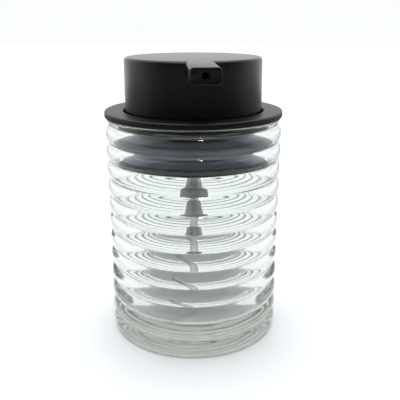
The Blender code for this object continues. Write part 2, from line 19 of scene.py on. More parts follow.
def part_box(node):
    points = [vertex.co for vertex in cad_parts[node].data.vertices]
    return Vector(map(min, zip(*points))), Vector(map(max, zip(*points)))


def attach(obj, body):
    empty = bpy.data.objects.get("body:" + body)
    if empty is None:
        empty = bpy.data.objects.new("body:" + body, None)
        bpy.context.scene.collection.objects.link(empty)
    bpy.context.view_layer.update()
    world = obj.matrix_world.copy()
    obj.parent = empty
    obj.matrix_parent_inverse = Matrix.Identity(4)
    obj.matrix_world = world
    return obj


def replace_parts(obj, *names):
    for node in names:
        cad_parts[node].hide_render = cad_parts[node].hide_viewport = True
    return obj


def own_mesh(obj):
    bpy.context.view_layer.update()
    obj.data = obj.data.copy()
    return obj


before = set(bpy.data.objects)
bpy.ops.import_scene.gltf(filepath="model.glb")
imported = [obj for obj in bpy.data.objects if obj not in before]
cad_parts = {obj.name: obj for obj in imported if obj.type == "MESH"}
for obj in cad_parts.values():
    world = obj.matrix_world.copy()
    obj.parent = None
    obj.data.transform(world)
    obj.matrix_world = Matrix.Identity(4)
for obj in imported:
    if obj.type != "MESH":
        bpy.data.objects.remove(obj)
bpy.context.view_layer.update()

MM = 0.001
FULL_TURN = 2 * math.pi
WELD = 1e-7
CUT_MARGIN = 1.0 * MM  # how far a cutter reaches past the surface that it cuts
SLIGHT_TURN = math.radians(12.0)  # corners that turn by less than this aren't rounded
FILLET_SHARE = 0.45  # how much of an edge a fillet may take from either end
LONG_EDGE_SEGMENTS = 6
END_SEGMENTS = 3
SMALL_STEPS = 96  # steps of a full turn on the pump's small pieces
SHARP_DEGREES = 35.0  # edges that turn by more than this stay sharp
Piece = bpy.types.Object
Shape = bmesh.types.BMesh
Edge = bmesh.types.BMEdge
Tree = bpy.types.NodeTree
Node = bpy.types.Node
Socket = bpy.types.NodeSocket
Point = tuple[float, float]
Point3 = tuple[float, float, float]
Profile = list[Point]
log = logging.getLogger("soap_dispenser")


class Body(Enum):
    """The rigid bodies of the frame that pieces ride on."""

    JAR = "jar"
    LID = "lid"
    PLUNGER = "plunger"
    HEAD = "head"
    INLET_VALVE = "inlet_valve"
    OUTLET_VALVE = "outlet_valve"


class Slot(Enum):
    """The record's material slots."""

    CLEAR_GLASS = "clear_glass"
    BLACK_PLASTIC = "black_plastic"
    GREY_SILICONE = "grey_silicone"
    CLEAR_PLASTIC = "clear_plastic"
    WHITE_PLASTIC = "white_plastic"
    STEEL = "steel"


# ---- materials ----


def linear(hex_colour: str) -> tuple[float, float, float, float]:
    """Turns an sRGB colour into the linear values that shaders use.

    Args:
        hex_colour: Six hexadecimal digits, two each for red, green and blue.

    Returns:
        Linear red, green, blue and an alpha of 1.
    """
    values = []
    for i in range(0, 6, 2):
        share = int(hex_colour[i : i + 2], 16) / 255
        values.append(share / 12.92 if share <= 0.04045 else ((share + 0.055) / 1.055) ** 2.4)
    return (*values, 1.0)


def add_node(
    tree: Tree,
    kind: str,
    settings: dict[str, Any] | None = None,
    links: dict[str | int, Socket] | None = None,
) -> Node:
    """Adds a node with its settings and the links into it.

    Args:
        tree: The node tree to add to.
        kind: The node's type name.
        settings: Values by property name, or by input name where the node has no such property.
        links: Output sockets of other nodes, by the name or number of the input that each goes into.

    Returns:
        The new node.
    """
    node = tree.nodes.new(kind)
    for key, value in (settings or {}).items():
        if hasattr(node, key):
            setattr(node, key, value)
        else:
            node.inputs[key].default_value = value
    for key, source in (links or {}).items():
        tree.links.new(source, node.inputs[key])
    return node


@dataclass(frozen=True)
class Finish:
    """A surface finish: what the material is and how its surface was made."""

    name: str
    slot: Slot | None  # None for what isn't part of the object
    colour: str
    roughness: float
    ior: float = 1.5
    grain_mm: float = 0.5  # size of the surface texture
    grain_depth_mm: float = 0.01
    mottle_mm: float = 9.0  # size of the slow changes in tone and gloss
    mottle_tone: float = 0.05
    mottle_gloss: float = 0.05

    def material(self) -> bpy.types.Material:
        """Returns the finish as a material, made on first use."""
        found = bpy.data.materials.get(self.name)
        return found if found is not None else self._make()

    def _make(self) -> bpy.types.Material:
        """Makes the material: slow mottle in tone and gloss, and a fine grain as bump.

        Returns:
            The new material.
        """
        material = bpy.data.materials.new(self.name)
        material.use_nodes = True
        tree = material.node_tree
        shader = tree.nodes["Principled BSDF"]
        shader.inputs["IOR"].default_value = self.ior
        place = add_node(tree, "ShaderNodeTexCoord").outputs["Object"]
        waves = {"Scale": 1 / (self.mottle_mm * MM), "Detail": 3.0}
        mottle = add_node(tree, "ShaderNodeTexNoise", waves, {"Vector": place}).outputs["Fac"]
        base = linear(self.colour)
        dark = tuple(c * (1 - self.mottle_tone) for c in base[:3]) + (1.0,)
        light = tuple(min(1.0, c * (1 + self.mottle_tone)) for c in base[:3]) + (1.0,)
        tone = add_node(tree, "ShaderNodeMixRGB", {"Color1": dark, "Color2": light}, {"Fac": mottle})
        tree.links.new(tone.outputs["Color"], shader.inputs["Base Color"])
        span = {"To Min": self.roughness - self.mottle_gloss, "To Max": self.roughness + self.mottle_gloss}
        gloss = add_node(tree, "ShaderNodeMapRange", span, {"Value": mottle})
        tree.links.new(gloss.outputs["Result"], shader.inputs["Roughness"])
        grit = {"Scale": 1 / (self.grain_mm * MM), "Detail": 2.0}
        grain = add_node(tree, "ShaderNodeTexNoise", grit, {"Vector": place}).outputs["Fac"]
        relief = {"Strength": 1.0, "Distance": self.grain_depth_mm * MM}
        bump = add_node(tree, "ShaderNodeBump", relief, {"Height": grain})
        tree.links.new(bump.outputs["Normal"], shader.inputs["Normal"])
        self._refine(tree, shader)
        return material

    def _refine(self, tree: Tree, shader: Node) -> None:
        """Adds what a particular material has beyond tone, gloss and grain."""


@dataclass(frozen=True)
class PressedGlass(Finish):
    """Soda-lime glass, pressed and fire polished: slow waves outside and a green cast in its depth."""

    depth_colour: str = "b9bfb3"
    depth_density: float = 18.0  # per metre of glass

    def _refine(self, tree: Tree, shader: Node) -> None:
        """Makes the body clear and gives its depth the cast of iron in the batch.

        Args:
            tree: The material's node tree.
            shader: Its Principled BSDF.
        """
        shader.inputs["Transmission Weight"].default_value = 1.0
        cast = {"Color": linear(self.depth_colour), "Density": self.depth_density}
        depth = add_node(tree, "ShaderNodeVolumeAbsorption", cast)
        tree.links.new(depth.outputs["Volume"], tree.nodes["Material Output"].inputs["Volume"])


@dataclass(frozen=True)
class NaturalPlastic(Finish):
    """Unpigmented polypropylene or polyethylene: milky, it passes light but no clear image."""

    clarity: float = 0.4

    def _refine(self, tree: Tree, shader: Node) -> None:
        """Lets light through, blurred by the surface."""
        shader.inputs["Transmission Weight"].default_value = self.clarity


@dataclass(frozen=True)
class LitSheet(Finish):
    """Opal white sheet over a lamp, as on a light table: bright, with a little light of its own."""

    glow: float = 0.12

    def _refine(self, tree: Tree, shader: Node) -> None:
        """Adds the light that comes through the sheet."""
        shader.inputs["Emission Color"].default_value = linear("fbfdff")
        shader.inputs["Emission Strength"].default_value = self.glow


@dataclass(frozen=True)
class BrightSteel(Finish):
    """Stainless steel, drawn or ground bright."""

    def _refine(self, tree: Tree, shader: Node) -> None:
        """Makes the surface a bare metal."""
        shader.inputs["Metallic"].default_value = 1.0


# Pressed in a mould, so its surface waves slowly, and polished by flame, so it is mirror smooth.
GLASS = PressedGlass(
    "pressed_soda_lime_glass", Slot.CLEAR_GLASS, "f9fbfa", 0.004, ior=1.52, grain_mm=7.0,
    grain_depth_mm=0.03, mottle_tone=0.0, mottle_gloss=0.004,
)
# ABS moulded in a spark-eroded tool: the grit is about 0.1 mm, drawn at 0.4 mm so that it shows.
BLACK_ABS = Finish(
    "spark_textured_black_abs", Slot.BLACK_PLASTIC, "050608", 0.28, ior=1.5, grain_mm=0.4,
    grain_depth_mm=0.002, mottle_tone=0.12, mottle_gloss=0.02,
)
# The lid's tool is eroded coarser than the head's, so its flange mirrors less.
LID_ABS = replace(BLACK_ABS, name="coarse_textured_black_abs", roughness=0.42)
# Moulded in a ground steel tool: satin, with a faint drag in the release marks.
GREY_SILICONE = Finish(
    "satin_grey_silicone", Slot.GREY_SILICONE, "9ba7b8", 0.3, ior=1.45, grain_mm=0.8, grain_depth_mm=0.006,
)
# Polypropylene from a polished tool: cloudy, and it glows where light comes from behind.
CYLINDER_PP = NaturalPlastic(
    "natural_moulded_polypropylene", Slot.CLEAR_PLASTIC, "f4f5f5", 0.5, ior=1.4, grain_mm=1.5,
    grain_depth_mm=0.01, clarity=0.6,
)
# Drawn polyethylene: clearer than the cylinder, because its wall is thin.
TUBE_PE = NaturalPlastic(
    "natural_extruded_polyethylene", Slot.CLEAR_PLASTIC, "ffffff", 0.6, ior=1.35, grain_mm=2.5,
    grain_depth_mm=0.01, clarity=0.95,
)
# Polypropylene with white pigment: even and slightly waxy.
WHITE_PP = Finish("white_moulded_polypropylene", Slot.WHITE_PLASTIC, "e9e8e3", 0.42, ior=1.49, grain_mm=0.7)
# Stainless wire and balls, ground bright: fine drawing marks under a clean mirror.
STEEL = BrightSteel(
    "bright_stainless_steel", Slot.STEEL, "c8c8c6", 0.18, grain_mm=0.6, grain_depth_mm=0.002,
)
# Opal acrylic with a matt face: grain of about 2 mm and slow changes over 60 mm.
SHEET = LitSheet(
    "opal_acrylic_sheet", None, "f4f6f6", 0.65, grain_mm=2.0, grain_depth_mm=0.01, mottle_mm=60.0,
    mottle_tone=0.01,
)
# Matt art card, its felt marks about 2 mm wide.
CARD_BLACK = Finish("black_card", None, "0a0a0a", 0.9, grain_mm=2.0)
CARD_GREY = Finish("grey_card", None, "6a6c6b", 0.9, grain_mm=2.0)


# ---- shapes ----


def arc(centre: Point, radius: float, start: float, end: float, segments: int) -> Profile:
    """Points along a circle in the (radius, height) plane.

    Args:
        centre: The circle's centre.
        radius: The circle's radius.
        start: First angle in degrees, from the outward axis.
        end: Last angle in degrees.
        segments: How many steps the arc takes.

    Returns:
        The points, both ends included.
    """
    angles = [math.radians(start + (end - start) * i / segments) for i in range(segments + 1)]
    return [(centre[0] + radius * math.cos(a), centre[1] + radius * math.sin(a)) for a in angles]


def soften(profile: Profile, radius: float, segments: int = 3, closed: bool = True) -> Profile:
    """Rounds the corners of an outline.

    Args:
        profile: The outline's corners.
        radius: Fillet radius, less where an edge is too short for it.
        segments: Steps in each fillet.
        closed: Whether the outline's end joins its start. An open one keeps its two ends.

    Returns:
        The outline with an arc in place of each corner that turns by more than a few degrees.
    """
    corners = [Vector(point) for point in profile]
    count = len(corners)
    result: Profile = []
    for i, corner in enumerate(corners):
        if not closed and i in (0, count - 1):
            result.append(tuple(corner))
            continue
        before = corners[i - 1] - corner
        after = corners[(i + 1) % count] - corner
        turn = math.pi - before.angle(after)
        if turn < SLIGHT_TURN:
            result.append(tuple(corner))
            continue
        longest = FILLET_SHARE * min(before.length, after.length)
        reach = min(radius * math.tan(turn / 2), longest)
        start = corner + before.normalized() * reach
        end = corner + after.normalized() * reach
        for step in range(segments + 1):
            t = step / segments
            point = start * (1 - t) ** 2 + corner * 2 * t * (1 - t) + end * t * t
            result.append(tuple(point))
    return result


def add_object(name: str, data: bpy.types.ID) -> Piece:
    """Adds an object to the scene, at the origin.

    Args:
        name: Its name.
        data: Its mesh, lamp or camera data.

    Returns:
        The object.
    """
    item = bpy.data.objects.new(name, data)
    bpy.context.scene.collection.objects.link(item)
    return item


def new_piece(shape: Shape, name: str, sharp_degrees: float = SHARP_DEGREES) -> Piece:
    """Makes an object at the origin from a bmesh, smooth but for its sharp edges.

    Args:
        shape: The mesh in the frame's own coordinates. It is freed.
        name: The piece's name.
        sharp_degrees: Edges that turn by more than this stay sharp.

    Returns:
        The new object.
    """
    mesh = bpy.data.meshes.new(name)
    shape.to_mesh(mesh)
    shape.free()
    mesh.shade_smooth()
    mesh.set_sharp_from_angle(angle=math.radians(sharp_degrees))
    return add_object(name, mesh)


def turned_shape(profile: Profile, steps: int, closed: bool = True) -> Shape:
    """Spins an outline round Z.

    Args:
        profile: Points of (radius, height) in the frame's coordinates.
        steps: How many steps the full turn takes.
        closed: Whether the outline is a loop. An open one starts and ends on the axis.

    Returns:
        The closed shape, its faces outwards.
    """
    shape = bmesh.new()
    verts = [shape.verts.new((r, 0.0, z)) for r, z in profile]
    edges = [shape.edges.new(pair) for pair in zip(verts, verts[1:])]
    if closed:
        edges.append(shape.edges.new((verts[-1], verts[0])))
    bmesh.ops.spin(
        shape, geom=verts + edges, cent=(0, 0, 0), axis=(0, 0, 1), angle=FULL_TURN, steps=steps,
        use_merge=True,
    )
    bmesh.ops.remove_doubles(shape, verts=shape.verts, dist=WELD)
    bmesh.ops.recalc_face_normals(shape, faces=shape.faces)
    return shape


def box_shape(size: Point3, centre: Point3, turn: float = 0.0) -> Shape:
    """Makes a plain box.

    Args:
        size: Its extents.
        centre: Its centre in the frame.
        turn: How far it is turned round its own Z, in radians.

    Returns:
        The closed shape.
    """
    shape = bmesh.new()
    bmesh.ops.create_cube(shape, size=1.0)
    bmesh.ops.scale(shape, vec=size, verts=shape.verts)
    bmesh.ops.rotate(shape, verts=shape.verts, matrix=Matrix.Rotation(turn, 3, "Z"))
    bmesh.ops.translate(shape, vec=centre, verts=shape.verts)
    return shape


def rounded_bar(size: Vector, centre: Vector, long_round: float, end_round: float) -> Shape:
    """Makes a bar along Y with rounded long edges and softer rounding round its -Y end.

    Args:
        size: Width, length and height.
        centre: The bar's centre in the frame.
        long_round: Radius of the four long edges.
        end_round: Radius round the -Y end face, or 0 to leave it sharp.

    Returns:
        The closed shape.
    """
    shape = box_shape(size, (0.0, 0.0, 0.0))
    long_edges = [e for e in shape.edges if abs(e.verts[0].co.y - e.verts[1].co.y) > size.y / 2]
    bevel = {"profile": 0.5, "affect": "EDGES", "material": -1}
    bmesh.ops.bevel(shape, geom=long_edges, offset=long_round, segments=LONG_EDGE_SEGMENTS, **bevel)
    if end_round:
        end = [e for e in shape.edges if all(abs(v.co.y + size.y / 2) < WELD for v in e.verts)]
        bmesh.ops.bevel(shape, geom=end, offset=end_round, segments=END_SEGMENTS, **bevel)
    bmesh.ops.translate(shape, vec=centre, verts=shape.verts)
    return shape


def cut_or_join(piece: Piece, tool: Shape, join: bool = False) -> None:
    """Applies a Boolean of a shape to a piece's mesh.

    Args:
        piece: The piece that is changed.
        tool: The shape that cuts it or joins it. It is freed.
        join: Whether it joins the piece.
    """
    helper = new_piece(tool, "tool")
    modifier = piece.modifiers.new("shape", "BOOLEAN")
    modifier.operation = "UNION" if join else "DIFFERENCE"
    modifier.object = helper
    bpy.context.view_layer.update()
    result = bpy.data.meshes.new_from_object(piece.evaluated_get(bpy.context.evaluated_depsgraph_get()))
    piece.modifiers.remove(modifier)
    old = piece.data
    piece.data = result
    result.name = piece.name
    bpy.data.meshes.remove(old)
    bpy.data.objects.remove(helper)
    result.shade_smooth()
    result.set_sharp_from_angle(angle=math.radians(SHARP_DEGREES))


def place(piece: Piece, finish: Finish, body: Body, *nodes: str) -> Piece:
    """Dresses a piece, hangs it on its body and lets it stand for CAD nodes.

    Args:
        piece: The piece.
        finish: Its finish.
        body: The body that it moves with.
        nodes: The CAD nodes that it replaces.

    Returns:
        The piece.
    """
    piece.data.materials.clear()
    piece.data.materials.append(finish.material())
    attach(piece, body.value)
    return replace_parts(piece, *nodes)


def turned_piece(
    name: str, profile: Profile, finish: Finish, body: Body, node: str, steps: int = SMALL_STEPS
) -> Piece:
    """Spins an outline into a piece that stands for one CAD node.

    Args:
        name: The piece's name.
        profile: A loop of (radius, height) in the frame's coordinates.
        finish: Its finish.
        body: The body that it moves with.
        node: The CAD node that it replaces.
        steps: How many steps the full turn takes.

    Returns:
        The piece.
    """
    return place(new_piece(turned_shape(profile, steps), name), finish, body, node)


def rod_shape(
    radius: float, start_y: float, end_y: float, height: float, segments: int = 48
) -> Shape:
    """Makes a round bar along Y on the plane X = 0, to cut with.

    Args:
        radius: Its radius.
        start_y: Where it starts.
        end_y: Where it ends.
        height: Its axis above the floor.
        segments: Its sides.

    Returns:
        The closed shape.
    """
    shape = bmesh.new()
    bmesh.ops.create_cone(
        shape, cap_ends=True, segments=segments, radius1=radius, radius2=radius, depth=abs(end_y - start_y)
    )
    bmesh.ops.rotate(shape, verts=shape.verts, matrix=Matrix.Rotation(math.pi / 2, 3, "X"))
    bmesh.ops.translate(shape, vec=(0.0, (start_y + end_y) / 2, height), verts=shape.verts)
    return shape


def ring(inner: float, outer: float, low: float, high: float) -> Profile:
    """Returns the section of a plain ring as a loop."""
    return [(inner, high), (outer, high), (outer, low), (inner, low)]


def extent(node: str) -> tuple[float, float, float]:
    """Returns a turned CAD node's outer radius, lowest height and highest height."""
    low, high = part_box(node)
    return high.x, low.z, high.z


# ---- sub-assemblies ----


@dataclass
class Jar:
    """Pressed glass jar: a stack of round ribs outside, a smooth bore that narrows down, a thick base."""

    rib_pitch: float = 8.3 * MM
    rib_count: int = 11
    rib_radius: float = 6.0 * MM
    groove_fillet: float = 0.35 * MM
    lowest_groove: float = 7.9 * MM
    foot_round: float = 0.6 * MM
    punt_depth: float = 0.5 * MM
    punt_margin: float = 3.0 * MM
    rim_round: float = 0.8 * MM
    rim_inset: float = 0.7 * MM
    bore_top: float = 36.0 * MM  # straight where the sleeve grips it
    bore_margin: float = 2.0 * MM
    bore_low: float = 34.0 * MM
    floor: float = 8.5 * MM
    inner_corner: float = 10.0 * MM
    steps: int = 224
    inner_segments: int = 16
    rim_segments: int = 5
    rib_segments: int = 14
    groove_segments: int = 4
    foot_segments: int = 6
    sharp_degrees: float = 50.0

    def outline(self) -> Profile:
        """Works out the section.

        Returns:
            Points from the middle of the floor over the rim and down the ribs to the middle of the foot.
        """
        crest, _, top = extent("glass_jar")
        spine = crest - self.rib_radius
        half = self.rib_pitch / 2
        reach = self.rib_radius + self.groove_fillet
        lean = math.degrees(math.asin(half / reach))
        groove_x = spine + math.sqrt(reach**2 - half**2)
        highest = self.lowest_groove + self.rib_count * self.rib_pitch

        corner, edge = self.inner_corner, self.rim_round
        inner = arc((self.bore_low - corner, self.floor + corner), corner, -90, 0, self.inner_segments)
        inner.append((self.bore_top, extent("lid_cup")[1] - self.bore_margin))
        outer = crest - self.rim_inset
        rim = arc((self.bore_top + edge, top - edge), edge, 180, 90, self.rim_segments)
        rim += arc((outer - edge, top - edge), edge, 90, 0, self.rim_segments)
        ribs: Profile = []
        for i in range(self.rib_count + 1):
            groove = highest - i * self.rib_pitch
            start = 180 - lean if i else 180 - lean / 2  # the rim leaves half of the top groove
            ribs += arc((groove_x, groove), self.groove_fillet, start, 180 + lean, self.groove_segments)
            if i < self.rib_count:
                middle = groove - half
                ribs += arc((spine, middle), self.rib_radius, lean, -lean, self.rib_segments)[1:-1]
        middle = self.lowest_groove - half
        last = -math.degrees(math.asin((middle - self.foot_round) / self.rib_radius))
        ribs += arc((spine, middle), self.rib_radius, lean, last, self.rib_segments)[1:]
        foot_x = ribs[-1][0] - self.foot_round
        foot = arc((foot_x, self.foot_round), self.foot_round, last / 2, -90, self.foot_segments)
        punt_edge = foot_x - self.punt_margin
        punt = [(punt_edge, 0.0), (punt_edge - 2 * self.punt_margin, self.punt_depth), (0.0, self.punt_depth)]
        return [(0.0, self.floor)] + inner + rim + ribs + foot + punt

    def build(self) -> list[Piece]:
        """Builds the jar and returns it in a list."""
        shape = turned_shape(self.outline(), self.steps, closed=False)
        return [place(new_piece(shape, "jar_glass", self.sharp_degrees), GLASS, Body.JAR, "glass_jar")]


@dataclass
class Lid:
    """Black lid with its flange and well, and the silicone sleeve that grips the jar."""

    flange: float = 2.75 * MM
    flange_round: float = 0.7 * MM
    well_radius: float = 31.6 * MM
    well_wall: float = 1.9 * MM
    well_floor: float = 2.0 * MM
    corner: float = 0.5 * MM
    neck_radius: float = 10.0 * MM
    neck_bore: float = 6.9 * MM
    neck_height: float = 10.0 * MM
    gap: float = 0.3 * MM
    lip_count: int = 3
    lip_reach: float = 0.5 * MM
    lip_height: float = 1.4 * MM
    sleeve_fillet: float = 0.3 * MM
    steps: int = 160
    flange_segments: int = 5
    corner_segments: int = 4

    def outline(self) -> Profile:
        """Works out the lid's section.

        Returns:
            The section as a loop.
        """
        rim, low, top = extent("lid_cup")
        underside = top - self.flange
        outer = self.well_radius + self.well_wall
        floor = low + self.well_floor
        neck_top = floor + self.neck_height
        edge = self.flange_round
        flange = arc((rim - edge, top - edge), edge, 90, 0, self.flange_segments)
        flange += arc((rim - edge, underside + edge), edge, 0, -90, self.flange_segments)
        rest = [
            (outer, underside), (outer, low), (self.neck_bore, low), (self.neck_bore, neck_top),
            (self.neck_radius, neck_top), (self.neck_radius, floor), (self.well_radius, floor),
            (self.well_radius, top),
        ]
        softened = soften([flange[-1], *rest, flange[0]], self.corner, self.corner_segments, closed=False)
        return flange[:-1] + softened[:-1]

    def sleeve_outline(self) -> Profile:
        """Works out the sleeve's section, with its lips down the outside.

        Returns:
            The section as a loop.
        """
        reach, low, top = extent("seal_sleeve")
        inner = self.well_radius + self.well_wall + self.gap
        outer = reach - self.lip_reach
        step = (top - low - self.lip_height) / self.lip_count
        profile = [(inner, top), (outer, top)]
        for i in range(self.lip_count):
            lip_top = top - step * (i + 0.5)
            profile += [
                (outer, lip_top), (reach, lip_top - self.lip_height / 3), (outer, lip_top - self.lip_height),
            ]
        return profile + [(outer, low), (inner, low)]

    def build(self) -> list[Piece]:
        """Builds the lid and the sleeve.

        Returns:
            The two pieces.
        """
        sleeve = soften(self.sleeve_outline(), self.sleeve_fillet)
        return [
            turned_piece("lid_moulding", self.outline(), LID_ABS, Body.LID, "lid_cup", self.steps),
            turned_piece("sleeve_moulding", sleeve, GREY_SILICONE, Body.LID, "seal_sleeve", self.steps),
        ]


@dataclass
class Head:
    """Black pump head: a thin shell with a flat spout, and a ring inside that grips the spout core."""

    top_round: float = 1.5 * MM
    draft: float = 0.3 * MM
    wall: float = 2.0 * MM
    roof: float = 1.6 * MM
    corner: float = 0.5 * MM
    nozzle_width: float = 12.0 * MM
    nozzle_height: float = 6.4 * MM
    nozzle_drop: float = 0.6 * MM
    nozzle_round: float = 1.6 * MM
    nozzle_end_round: float = 0.35 * MM
    nozzle_front: float = 1.7 * MM
    outlet_radius: float = 1.75 * MM
    duct_width: float = 7.2 * MM
    duct_height: float = 4.5 * MM
    ring_bore: float = 5.5 * MM
    ring_wall: float = 1.2 * MM
    ring_drop: float = 8.0 * MM
    ring_fillet: float = 0.2 * MM
    steps: int = 192
    crown_segments: int = 8
    corner_segments: int = 4

    def core_ring(self, top: float) -> Shape:
        """Makes the ring under the roof that grips the spout core.

        Args:
            top: Its upper end, inside the roof.

        Returns:
            The closed shape.
        """
        loop = ring(self.ring_bore, self.ring_bore + self.ring_wall, top - self.ring_drop, top)
        return turned_shape(soften(loop, self.ring_fillet), SMALL_STEPS)

    def outline(self) -> Profile:
        """Works out the shell's section.

        Returns:
            Points from the middle of the top down the outside and up inside to the middle of the roof.
        """
        foot, low, top = extent("head_shell")
        radius = foot - self.draft
        inner = radius - self.wall
        roof = top - self.roof
        rest = [(foot, low), (foot - self.wall, low), (inner, roof), (0.0, roof)]
        edge = self.top_round
        crown = arc((radius - edge, top - edge), edge, 90, 0, self.crown_segments)
        softened = soften([crown[-1], *rest], self.corner, self.corner_segments, closed=False)
        return [(0.0, top)] + crown[:-1] + softened

    def nozzle(self) -> Shape:
        """Makes the spout, a bar that slopes down from the edge of the head's top.

        Returns:
            The closed shape.
        """
        low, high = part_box("head_shell")
        root = -(high.x - self.draft - self.wall / 2)
        length = root - low.y
        size = Vector((self.nozzle_width, length, self.nozzle_height))
        centre = Vector((0.0, root - length / 2, high.z - self.nozzle_height / 2))
        bar = rounded_bar(size, centre, self.nozzle_round, self.nozzle_end_round)
        for vert in bar.verts:
            vert.co.z -= self.nozzle_drop * (root - vert.co.y) / length
        return bar

    def build(self) -> list[Piece]:
        """Builds the shell, joins the spout and the ring to it and cuts the duct and the outlet.

        Returns:
            The one piece.
        """
        low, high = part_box("head_shell")
        shell = new_piece(turned_shape(self.outline(), self.steps, closed=False), "head_moulding")
        cut_or_join(shell, self.nozzle(), join=True)
        axis = high.z - self.nozzle_drop - self.nozzle_height / 2
        duct_end = low.y + self.nozzle_front
        cut_or_join(shell, self.core_ring(high.z - self.roof / 2), join=True)
        duct = (self.duct_width, -duct_end, self.duct_height)
        cut_or_join(shell, box_shape(duct, (0.0, duct_end / 2, axis)))
        outlet = rod_shape(self.outlet_radius, duct_end + CUT_MARGIN, low.y - CUT_MARGIN, axis)
        cut_or_join(shell, outlet)
        return [place(shell, BLACK_ABS, Body.HEAD, "head_shell")]


@dataclass
class Pump:
    """The pump that hangs in the lid's neck: clamped stack, cylinder, valve cage, spring and dip tube."""

    gap: float = 0.3 * MM
    fillet: float = 0.25 * MM
    seal_fillet: float = 0.2 * MM
    neck_bore: float = 6.9 * MM
    gasket_fillet: float = 0.4 * MM
    # cylinder, heights down from the seat of its flange
    flange: float = 1.6 * MM
    radius: float = 6.5 * MM
    radius_low: float = 6.35 * MM
    bore: float = 5.2 * MM
    shoulder: float = 26.0 * MM
    shoulder_end: float = 29.4 * MM
    shoulder_segments: int = 12
    ledge: float = 28.1 * MM
    ball_room: float = 2.7 * MM
    cone: float = 32.8 * MM
    throat: float = 1.2 * MM
    throat_length: float = 1.1 * MM
    nose_radius: float = 4.3 * MM
    nose_radius_low: float = 3.4 * MM
    # screw collar and stem guide
    grip_count: int = 36
    grip_steps: int = 6
    grip_depth: float = 0.35 * MM
    grip_margin: float = 1.2 * MM
    collar_fillet: float = 0.5 * MM
    collar_segments: int = 4
    collar_wall: float = 1.9 * MM
    collar_lip: float = 1.5 * MM
    collar_hole: float = 5.6 * MM
    guide_flange: float = 1.0 * MM
    guide_bore: float = 3.1 * MM
    tower_radius: float = 5.2 * MM
    pocket_radius: float = 4.2 * MM
    pocket_depth: float = 2.0 * MM
    # spring
    wire: float = 0.35 * MM
    wire_segments: int = 10
    turns: int = 8
    closed_pitch: float = 0.8 * MM
    turn_steps: int = 36
    press_travel: float = 12.0 * MM
    # dip tube
    tube_wall: float = 0.5 * MM
    tube_straight: float = 26.0 * MM
    tube_bend: float = 14.0 * MM
    tube_lean: float = math.radians(36.0)
    tube_tail: float = 12.0 * MM
    tube_segments: int = 32
    bend_steps: int = 12
    # valve cage
    cage_bore: float = 1.5 * MM
    slot: Point = (6.4 * MM, 1.1 * MM)
    slot_turns: Point = (math.radians(45.0), math.radians(135.0))

    def gasket(self) -> Piece:
        """Builds the soft ring between the neck and the cylinder's flange.

        Returns:
            The piece.
        """
        loop = soften(ring(self.neck_bore, *extent("neck_gasket")), self.gasket_fillet)
        return turned_piece("gasket_ring", loop, GREY_SILICONE, Body.LID, "neck_gasket")

    def cylinder(self) -> Piece:
        """Builds the pump cylinder, with its round shoulder, ball seat and long nose.

        Returns:
            The piece.
        """
        rim, low, high = extent("pump_housing")
        seat = high - self.flange
        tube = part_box("dip_tube")[1].y + self.gap
        throat_top = seat - self.cone - (self.ball_room - self.throat)
        throat_end = throat_top - self.throat_length
        round_in = self.radius_low - self.nose_radius
        stretch = (self.shoulder_end - self.shoulder) / round_in
        quarter = arc((self.nose_radius, 0.0), round_in, 0, -90, self.shoulder_segments)
        dome = [(r, z * stretch + seat - self.shoulder) for r, z in quarter]
        loop = [(self.bore, high), (rim, high), (rim, seat), (self.radius, seat), *dome]
        loop += [(self.nose_radius_low, low), (tube, low), (tube, throat_end), (self.throat, throat_end)]
        loop += [(self.throat, throat_top), (self.ball_room, seat - self.cone)]
        loop += [(self.ball_room, seat - self.ledge), (self.bore, seat - self.ledge)]
        loop = soften(loop, self.fillet)
        return turned_piece("pump_cylinder", loop, CYLINDER_PP, Body.LID, "pump_housing")

    def collar(self) -> Piece:
        """Builds the screw collar, its skirt fluted for grip.

        Returns:
            The piece.
        """
        outer, low, high = extent("screw_collar")
        inner = outer - self.collar_wall
        lip = high - self.collar_lip
        margin = self.grip_margin
        skirt = [(outer, z) for z in (high - margin, high - 2 * margin, low + margin)]
        loop = [(self.collar_hole, high), (outer, high), *skirt, (outer, low)]
        loop += [(inner, low), (inner, lip), (self.collar_hole, lip)]
        profile = soften(loop, self.collar_fillet, self.collar_segments)
        shape = turned_shape(profile, self.grip_steps * self.grip_count)
        for vert in shape.verts:
            reach = math.hypot(vert.co.x, vert.co.y)
            if reach > outer - WELD and vert.co.z < high - 1.5 * margin:
                wave = 0.5 - 0.5 * math.cos(self.grip_count * math.atan2(vert.co.y, vert.co.x))
                vert.co.xy *= 1 - self.grip_depth * wave / reach
        return place(new_piece(shape, "fluted_collar"), WHITE_PP, Body.LID, "screw_collar")

    def guide(self) -> Piece:
        """Builds the stem guide with its tower.

        Returns:
            The piece.
        """
        rim, low, high = extent("stem_guide")
        flange_low = extent("pump_housing")[2] + self.gap
        flange_high = flange_low + self.guide_flange
        spigot = self.bore - self.gap
        floor = high - self.pocket_depth
        loop = [(self.pocket_radius, high), (self.tower_radius, high), (self.tower_radius, flange_high)]
        loop += [(rim, flange_high), (rim, flange_low), (spigot, flange_low), (spigot, low)]
        loop += [(self.guide_bore, low), (self.guide_bore, floor), (self.pocket_radius, floor)]
        loop = soften(loop, self.fillet)
        return turned_piece("stem_bush", loop, WHITE_PP, Body.LID, "stem_guide")

    def seal(self) -> Piece:
        """Builds the lip seal in the guide's tower.

        Returns:
            The piece.
        """
        outer, low, high = extent("stem_seal")
        inner = self.guide_bore
        dip = ((inner + outer) / 2, (low + high) / 2)
        cup = soften([(inner, high), dip, (outer, high), (outer, low), (inner, low)], self.seal_fillet)
        return turned_piece("stem_lip_seal", cup, GREY_SILICONE, Body.LID, "stem_seal")

